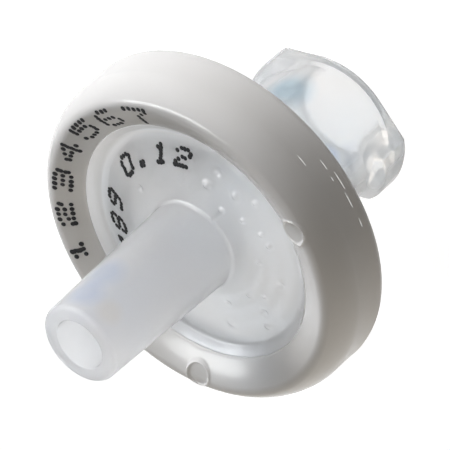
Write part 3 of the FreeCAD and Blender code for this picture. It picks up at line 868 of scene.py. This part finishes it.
def raise_lugs(bm, inlet, levels):
    """Pulls the hub's lower wall out into lugs whose flank climbs along the luer thread."""
    climb = inlet.lug_lead * inlet.lug_sweep / FULL_TURN
    gap = FULL_TURN / inlet.lug_count - inlet.lug_sweep
    for vert in bm.verts:
        if reach(vert) < inlet.hub_radius - 0.05 or vert.co.z > inlet.neck_height - 0.1:
            continue
        plan, share, offset = lug_plan(inlet, math.atan2(vert.co.y, vert.co.x))
        if abs(offset) > inlet.lug_sweep / 2:
            past = (abs(offset) - inlet.lug_sweep / 2) / gap
            share = 1 - past if offset > 0 else past
        _, stand, lift = min(levels, key=lambda level: abs(level[0] - vert.co.z))
        out = inlet.hub_radius + (plan - inlet.hub_radius) * stand
        scale = out / reach(vert)
        vert.co = Vector((vert.co.x * scale, vert.co.y * scale, vert.co.z + climb * share * lift))


# Rounding between hub and back face, and how far below the neck a row of corners stands, in millimetres.
BASE_ROUND = 0.5
NECK_ROW = 1.4
# A lug's flank: share of its height, and share of the lug that still stands out there.
LUG_FLANK = (0, 1), (0.1, 0.985), (0.2, 0.93), (0.4, 0.72), (0.6, 0.46), (0.8, 0.2), (0.92, 0.06), (1.05, 0)


def model_inlet(inlet):
    """Luer lock hub, back face and flange in one shell."""
    flank = inlet.lug_flank - inlet.lug_land
    # Each level of the lower wall: height, how far it stands out, and its share of the thread's climb.
    levels = [(0, 1, 0)]
    levels += [(inlet.lug_land * i / 6, 1, i / 6) for i in range(1, 6)]
    levels += [(inlet.lug_land + flank * up, stand, 1) for up, stand in LUG_FLANK]
    outline = [
        (inlet.socket_mouth + inlet.socket_lead, 0),
        *((inlet.hub_radius, level) for level, _, _ in levels),
        (inlet.hub_radius, inlet.neck_height - NECK_ROW),
        (inlet.hub_radius, inlet.neck_height),
        (inlet.base_radius, inlet.face_height),
        (inlet.face_radius, inlet.face_height),
        (inlet.lip_radius, inlet.lip_height),
        (inlet.mouth_radius, inlet.lip_height),
        (inlet.mouth_radius, inlet.flange_height),
        (inlet.flange_radius, inlet.flange_height),
        (inlet.flange_radius, inlet.parting_height),
        (inlet.chamber_radius, inlet.parting_height),
        (inlet.chamber_radius, inlet.chamber_height),
        (inlet.port_radius, inlet.chamber_height),
        (inlet.port_radius, inlet.socket_depth),
        (inlet.socket_end, inlet.socket_depth),
        (inlet.socket_mouth, inlet.socket_lead),
    ]
    bm = turned(outline)
    raise_lugs(bm, inlet, levels)

    def on_rim(vert):
        return abs(vert.co.z) < SAME and reach(vert) > inlet.hub_radius - 0.01

    round_edges(bm, [e for e in bm.edges if all(on_rim(v) for v in e.verts)], inlet.rim_round, 5)
    ease(bm, inlet.base_radius, inlet.face_height, BASE_ROUND)
    return bm


# ---- membrane
def model_membrane(membrane):
    """A thin disc."""
    bm = bmesh.new()
    bmesh.ops.create_circle(bm, cap_ends=True, radius=membrane.radius, segments=120)
    bmesh.ops.translate(bm, verts=bm.verts, vec=(0, 0, membrane.low))
    top = bmesh.ops.extrude_face_region(bm, geom=list(bm.faces))
    bmesh.ops.translate(bm, verts=corners_of(top["geom"]), vec=(0, 0, membrane.high - membrane.low))
    return bm


# ---- print
# Each number is seven rows of five places; a # is a dot of ink.
DOTS = {
    "0": ".###. #...# #...# #...# #...# #...# .###.",
    "1": "..#.. .##.. ..#.. ..#.. ..#.. ..#.. .###.",
    "2": ".###. #...# ....# ..##. .#... #.... #####",
    "3": "####. ....# ....# .###. ....# ....# ####.",
    "4": "...#. ..##. .#.#. #..#. ##### ...#. ...#.",
    "5": "##### #.... ####. ....# ....# #...# .###.",
    "6": ".###. #.... #.... ####. #...# #...# .###.",
    "7": "##### ....# ...#. ..#.. ..#.. ..#.. ..#..",
    "8": ".###. #...# #...# .###. #...# #...# .###.",
    "9": ".###. #...# #...# .#### ....# ....# .###.",
    ".": "..... ..... ..... ..... ..... .##.. .##..",
}


# Each line's lowest and highest row off the axis, at its first and last number, and a number's width.
RING_LINE = ((6.77, 7.3), (6.38, 7.38), 1.1)
DISH_LINE = ((4.3, 5.03), (4.07, 4.94), 0.7)
# Thickness of a dot of ink, and how far a dot strays up and aside, in millimetres.
INK_DEPTH = 0.016
STRAY_UP = 0.015
STRAY_ASIDE = 0.02


def print_line(settings, text, first, surface, line, lean):
    """Prints numbers round the axis, tops outwards; surface gives the height and tilt off the axis."""
    bm = bmesh.new()
    wobble = random.Random(11)
    start, end, width = line
    for index, character in enumerate(text):
        share = index / (len(text) - 1)
        low, high = (start[i] + (end[i] - start[i]) * share for i in (0, 1))
        direction = first - settings.pitch * index
        for row, places in enumerate(DOTS.get(character, "").split()):
            for column, mark in enumerate(places):
                if mark != "#":
                    continue
                out = high - (high - low) * row / 6 + wobble.uniform(-STRAY_UP, STRAY_UP)
                aside = width * (0.5 - column / 4) + wobble.uniform(-STRAY_ASIDE, STRAY_ASIDE)
                aside = aside / (low + high) * 2 + lean * (row / 6 - 0.5)
                dot = settings.dot_radius * wobble.uniform(0.92, 1.1)
                up, tilt = surface(out)
                turn = Matrix.Rotation(direction + aside, 4, "Z")
                matrix = turn @ Matrix.Translation((out, 0, up)) @ Matrix.Rotation(tilt, 4, "Y")
                bmesh.ops.create_cone(
                    bm, cap_ends=True, segments=12, radius1=dot, radius2=dot * 0.8,
                    depth=INK_DEPTH, matrix=matrix,
                )
    return bm


# ---- operators
class FILTER_OT_ring(bpy.types.Operator):
    """Model the white moulded ring"""

    bl_idname = "filter_part.ring"
    bl_label = "Moulded Ring"

    def execute(self, context):
        ring = in_mm(context.scene.filter_ring)
        finish_piece(model_ring(ring), "moulded_ring", ring_plastic(ring), "overmold_ring")
        finish_piece(model_scuffs(ring), "ring_scuffs", bright_scuff(ring))
        return {"FINISHED"}


class FILTER_OT_outlet(bpy.types.Operator):
    """Model the outlet shell with its nozzle"""

    bl_idname = "filter_part.outlet"
    bl_label = "Outlet Shell"

    def execute(self, context):
        outlet = in_mm(context.scene.filter_outlet)
        finish = clear_plastic("milky_plastic", outlet, 0.014 * MM)
        # Painted glow in the dish's wall and floor.
        add_painted_glow(finish, outlet)
        finish_piece(model_outlet(outlet), "outlet_shell", finish.material, "outlet_housing")
        return {"FINISHED"}


class FILTER_OT_inlet(bpy.types.Operator):
    """Model the inlet shell with its luer lock hub"""

    bl_idname = "filter_part.inlet"
    bl_label = "Inlet Shell"

    def execute(self, context):
        inlet = in_mm(context.scene.filter_inlet)
        finish = clear_plastic("clear_plastic", inlet, 0.006 * MM)
        finish_piece(model_inlet(inlet), "inlet_shell", finish.material, "inlet_housing")
        return {"FINISHED"}


class FILTER_OT_membrane(bpy.types.Operator):
    """Model the membrane"""

    bl_idname = "filter_part.membrane"
    bl_label = "Membrane"

    def execute(self, context):
        membrane = in_mm(context.scene.filter_membrane)
        finish_piece(model_membrane(membrane), "membrane_disc", membrane_sheet(membrane), "membrane")
        return {"FINISHED"}


class FILTER_OT_print(bpy.types.Operator):
    """Print dotted numbers on the ring and in the dish"""

    bl_idname = "filter_part.print"
    bl_label = "Printed Numbers"

    def execute(self, context):
        settings = in_mm(context.scene.filter_print)
        ring = in_mm(context.scene.filter_ring)
        outlet = in_mm(context.scene.filter_outlet)

        def on_ring(out):
            return front_face(ring, out)

        def on_floor(out):
            return floor_level(outlet, out), floor_fall(outlet)

        black = ink(settings)
        ring_line = settings.ring_digits, settings.ring_first, on_ring, RING_LINE, 0
        dish_line = settings.dish_digits, settings.dish_first, on_floor, DISH_LINE, settings.dish_lean
        finish_piece(print_line(settings, *ring_line), "ring_print", black)
        finish_piece(print_line(settings, *dish_line), "dish_print", black)
        return {"FINISHED"}


class FILTER_OT_stage(bpy.types.Operator):
    """Set up the floor, the soft lights and the camera"""

    bl_idname = "filter_part.stage"
    bl_label = "Studio"

    def execute(self, context):
        stage = context.scene.filter_stage
        make_floor(stage)
        make_surround(context.scene, stage)
        make_lights()
        make_camera(context.scene, stage)
        context.scene.view_settings.view_transform = "Standard"
        cycles = context.scene.cycles
        cycles.max_bounces = 32
        cycles.transmission_bounces = 24
        cycles.volume_bounces = 24
        return {"FINISHED"}


# ---- stage
def seen_directly(wiring):
    """1 for rays that show the background: from the camera, off gloss, or through clear plastic."""
    rays = wiring.node("LightPath").outputs
    total = rays["Is Camera Ray"]
    for name in ("Is Glossy Ray", "Is Transmission Ray"):
        total = wiring.node("Math", total, rays[name], operation="MAXIMUM").outputs[0]
    return total


def make_floor(stage):
    """A pale floor that looks white and keeps the filter's soft shadow."""
    material = bpy.data.materials.new("pale_floor")
    wiring = Wiring(material)
    wiring.nodes.clear()
    paper = wiring.node("BsdfDiffuse", Color=(*stage.floor_colour, 1))
    glow = wiring.node("Emission", Color=(0.92, 0.92, 0.92, 1))
    wiring.links.new(seen_directly(wiring), glow.inputs["Strength"])
    both = wiring.node("AddShader", paper.outputs[0], glow.outputs[0])
    wiring.node("OutputMaterial", both.outputs[0])
    bm = bmesh.new()
    bmesh.ops.create_grid(bm, x_segments=1, y_segments=1, size=stage.floor_size / 2)
    bmesh.ops.translate(bm, verts=bm.verts, vec=(0, 0, -0.01 * MM))
    shown(bm, "floor", material)


def make_surround(scene, stage):
    """A dim surround for light, white where it is seen directly."""
    scene.world = bpy.data.worlds.new("surround")
    wiring = Wiring(scene.world)
    wiring.nodes.clear()
    dim = wiring.node("Background", Color=(*stage.surround, 1))
    white = wiring.node("Background", Color=(1, 1, 1, 1))
    mix = wiring.node("MixShader", seen_directly(wiring), dim.outputs[0], white.outputs[0])
    wiring.node("OutputWorld", mix.outputs[0])


LAMP_DISTANCE = 0.5
# Each soft light: direction round the filter, height and own turn in degrees, sides in metres, power,
# colour, and whether only glossy surfaces see it.
LIGHTS = {
    "low": (0, 8, 0, (0.3, 0.3), 1.35, (0.95, 0.97, 1), False),
    "key": (0, 22, 0, (0.2, 0.2), 0.75, (0.9, 0.93, 1), False),
    "side": (336, 8, 0, (0.2, 0.2), 1.3, (1, 0.96, 0.93), False),
    "back": (135, 35, 0, (0.3, 0.3), 0.52, (1, 0.94, 0.85), False),
    "far": (180, 8, 0, (0.3, 0.3), 0.8, (1, 0.9, 0.78), False),
    "window": (15, 52.5, -49, (0.36, 0.19), 1.75, (0.98, 1, 1), True),
}


def make_lights():
    """Large soft area lights round the filter."""
    middle = (CAD_BOX[0] + CAD_BOX[1]) / 2
    for name, (around, above, turn, sides, power, tint, gloss_only) in LIGHTS.items():
        lamp = bpy.data.lights.new(name, "AREA")
        lamp.shape = "RECTANGLE"
        lamp.size, lamp.size_y = sides
        lamp.energy = power
        lamp.color = tint
        holder = linked(name, lamp)
        around, above, turn = (math.radians(degrees) for degrees in (around, above, turn))
        back = Matrix.Rotation(around, 3, "Z") @ Vector((math.cos(above), 0, math.sin(above)))
        holder.location = middle + back * LAMP_DISTANCE
        holder.rotation_mode = "QUATERNION"
        holder.rotation_quaternion = back.to_track_quat("Z", "Y") @ Quaternion((0, 0, 1), turn)
        holder.visible_glossy = gloss_only
        holder.visible_diffuse = not gloss_only
        holder.visible_transmission = not gloss_only
        holder.visible_volume_scatter = not gloss_only


def make_camera(scene, stage):
    """A long lens above the outlet side, rolled so that the nozzle points down to the left."""
    lens = bpy.data.cameras.new("camera")
    lens.lens = stage.lens
    lens.clip_start = 0.01
    lens.clip_end = 20
    camera = linked("camera", lens)
    tilt = Matrix.Rotation(math.pi / 2 - stage.elevation, 4, "X") @ Matrix.Rotation(stage.roll, 4, "Z")
    target = Vector((stage.target_x, 0, stage.target_z))
    camera.matrix_world = Matrix.Translation(target + tilt.col[2].xyz * stage.distance) @ tilt
    scene.camera = camera


# ---- panel
OPERATORS = (
    FILTER_OT_ring,
    FILTER_OT_outlet,
    FILTER_OT_inlet,
    FILTER_OT_membrane,
    FILTER_OT_print,
    FILTER_OT_stage,
)


class FILTER_PT_panel(bpy.types.Panel):
    """Lists the pieces and their settings"""

    bl_idname = "FILTER_PT_panel"
    bl_label = "Disc Syringe Filter"
    bl_space_type = "VIEW_3D"
    bl_region_type = "UI"
    bl_category = "Filter"

    def draw(self, context):
        for operator, key in zip(OPERATORS, SETTINGS):
            box = self.layout.box()
            box.operator(operator.bl_idname)
            settings = getattr(context.scene, key)
            for name in settings.bl_rna.properties.keys():
                if name not in ("rna_type", "name"):
                    box.prop(settings, name)


def register():
    for key, group in SETTINGS.items():
        bpy.utils.register_class(group)
        setattr(bpy.types.Scene, key, bpy.props.PointerProperty(type=group))
    for made in (*OPERATORS, FILTER_PT_panel):
        bpy.utils.register_class(made)


def unregister():
    for made in reversed((*OPERATORS, FILTER_PT_panel)):
        bpy.utils.unregister_class(made)
    for key, group in reversed(SETTINGS.items()):
        delattr(bpy.types.Scene, key)
        bpy.utils.unregister_class(group)


def main():
    register()
    for operator in OPERATORS:
        family, name = operator.bl_idname.split(".")
        getattr(getattr(bpy.ops, family), name)()


if __name__ == "__main__":
    main()
